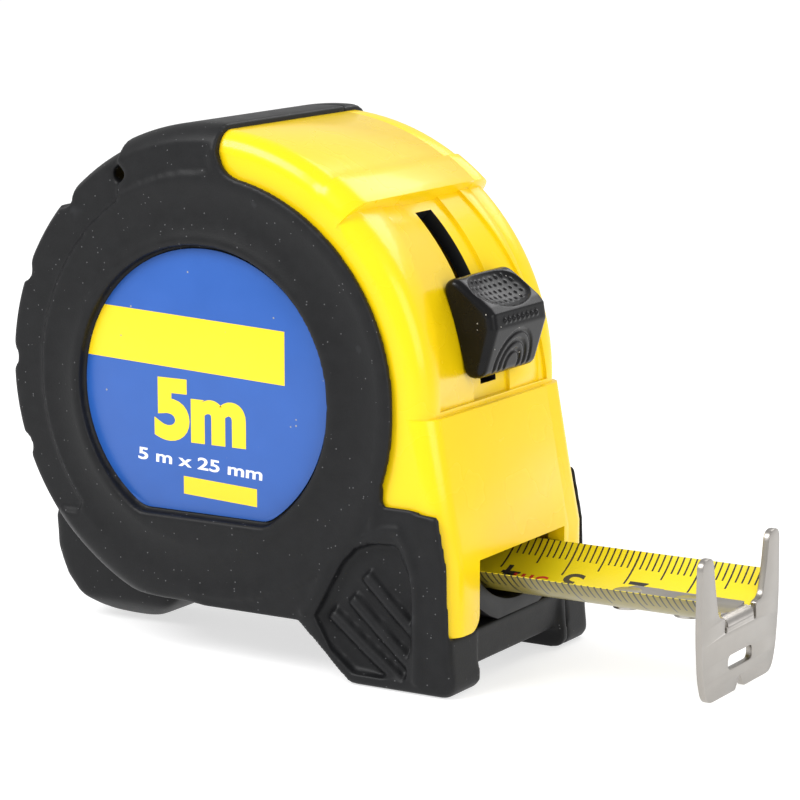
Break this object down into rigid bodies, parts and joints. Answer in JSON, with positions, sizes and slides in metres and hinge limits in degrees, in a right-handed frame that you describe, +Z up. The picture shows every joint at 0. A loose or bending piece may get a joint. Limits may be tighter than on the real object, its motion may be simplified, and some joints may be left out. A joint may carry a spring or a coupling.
{
  "type": "tape measure",
  "caption": "Pocket tape measure: yellow two-part case with black rubber grip, sprung reel, curved blade with pronged end hook, sliding thumb lock and belt clip.",
  "frame": {"origin": "on the surface the feet stand on, under the middle of the whole object's box", "axes": "+X along the drawn blade, from the case to the hook; +Y across the case, from the label to the belt clip; +Z up"},
  "size_m": [0.1108, 0.0452, 0.0778],
  "materials": {
    "shell": "glossy moulded yellow ABS",
    "grip": "matt overmoulded black rubber with fine dust",
    "label": "printed blue vinyl label, satin",
    "lock_plastic": "glossy black moulded plastic",
    "inner_plastic": "black moulded plastic, inside",
    "blade": "yellow lacquered spring steel, satin",
    "hook_steel": "satin nickel-plated steel",
    "rivet_steel": "nickel-plated steel",
    "spring_steel": "blued spring steel",
    "clip_steel": "nickel-plated spring steel",
    "screw_steel": "zinc-plated steel",
    "liner_film": "white plastic film",
    "fibre": "brown fibre strip",
    "brake_rubber": "matt rubber"
  },
  "bodies": {
    "case": {"case_body": "shell", "case_cover": "shell", "grip_left": "grip", "grip_right": "grip", "mouth_bumper": "inner_plastic", "label_left": "label", "arbor": "inner_plastic", "liner_left": "liner_film", "liner_right": "liner_film", "wear_strip": "fibre", "case_screws": "screw_steel", "clip_screw": "screw_steel", "belt_clip": "clip_steel"},
    "reel": {"reel_drum": "inner_plastic", "reel_cover": "inner_plastic", "power_spring": "spring_steel", "spring_link": "spring_steel", "blade_coil": "blade"},
    "blade": {"blade_strip": "blade", "hook_rivets": "rivet_steel"},
    "hook": {"end_hook": "hook_steel"},
    "lock": {"lock_button": "lock_plastic", "lock_arm": "inner_plastic", "brake_pad": "brake_rubber"}
  },
  "joints": [
    {"name": "reel_spin", "type": "hinge", "parent": "case", "child": "reel", "pos_m": [-0.0201, -0.00165, 0.03935], "axis": [0, 1, 0], "range_deg": [-35.5, 73.8]},
    {"name": "blade_slide", "type": "slide", "parent": "case", "child": "blade", "axis": [1, 0, 0], "range_m": [-0.029, 0.014]},
    {"name": "hook_play", "type": "slide", "parent": "blade", "child": "hook", "axis": [1, 0, 0], "range_m": [0, 0.001]},
    {"name": "lock_slide", "type": "hinge", "parent": "case", "child": "lock", "pos_m": [-0.0201, -0.00165, 0.03935], "axis": [0, -1, 0], "range_deg": [0, 19]}
  ],
  "couplings": [
    {"joint": "blade_slide", "follows": "reel_spin", "m_per_rad": -0.0225}
  ]
}
